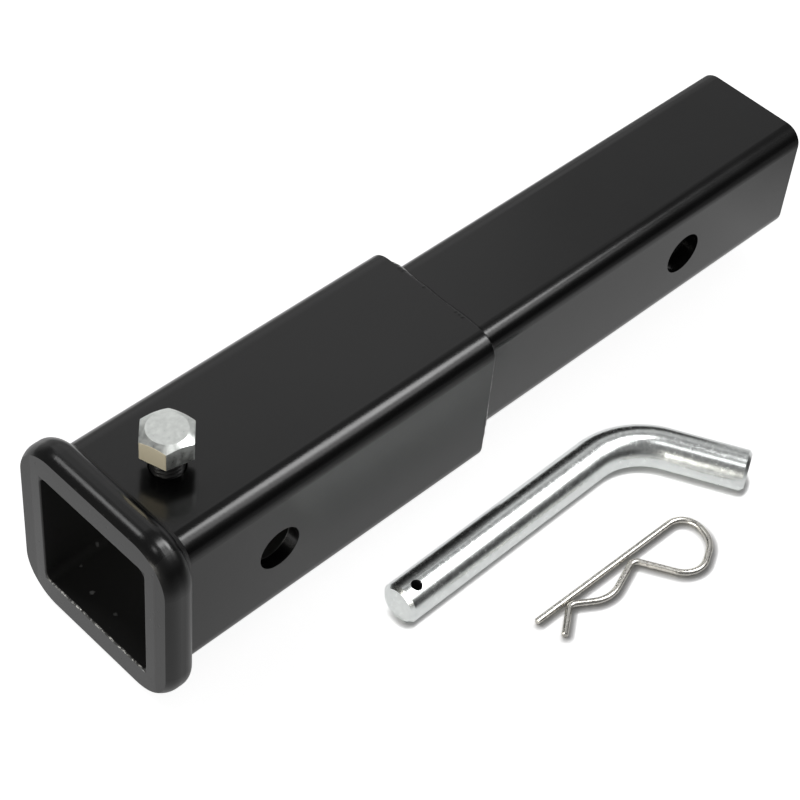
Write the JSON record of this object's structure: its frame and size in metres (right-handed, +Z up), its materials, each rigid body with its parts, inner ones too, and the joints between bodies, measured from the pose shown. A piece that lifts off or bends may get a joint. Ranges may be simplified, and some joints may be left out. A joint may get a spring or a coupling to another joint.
{
  "type": "hitch receiver extender",
  "caption": "Square receiver tube extender: a shank welded into a wider sleeve with a raised mouth ring, a set bolt, and a bent hitch pin with its spring clip beside it.",
  "frame": {"origin": "on the tube's axis, at the axis of the shank's pin hole", "axes": "+X along the tube towards the shank's free end, the mouth faces -X; +Z up, on the set bolt's side; +Y across, along the pin holes"},
  "size_m": [0.3354, 0.1562, 0.0883],
  "materials": {
    "black_paint": "gloss black powder coat on steel",
    "bolt_zinc": "bright zinc plate with worn chamfers",
    "pin_zinc": "bright zinc plate with a fine grain along the bar",
    "clip_nickel": "pale plated spring wire, semi-gloss"
  },
  "bodies": {
    "extender": {"shank_tube": "black_paint", "sleeve_tube": "black_paint", "mouth_ring": "black_paint", "ring_weld": "black_paint", "shank_weld": "black_paint", "hitch_pin": "pin_zinc", "spring_clip": "clip_nickel"},
    "set_bolt": {"set_bolt": "bolt_zinc"}
  },
  "joints": [
    {"name": "set_bolt_screw", "type": "slide", "parent": "extender", "child": "set_bolt", "axis": [0, 0, 1], "range_m": [-0.0084, 0.004]}
  ]
}
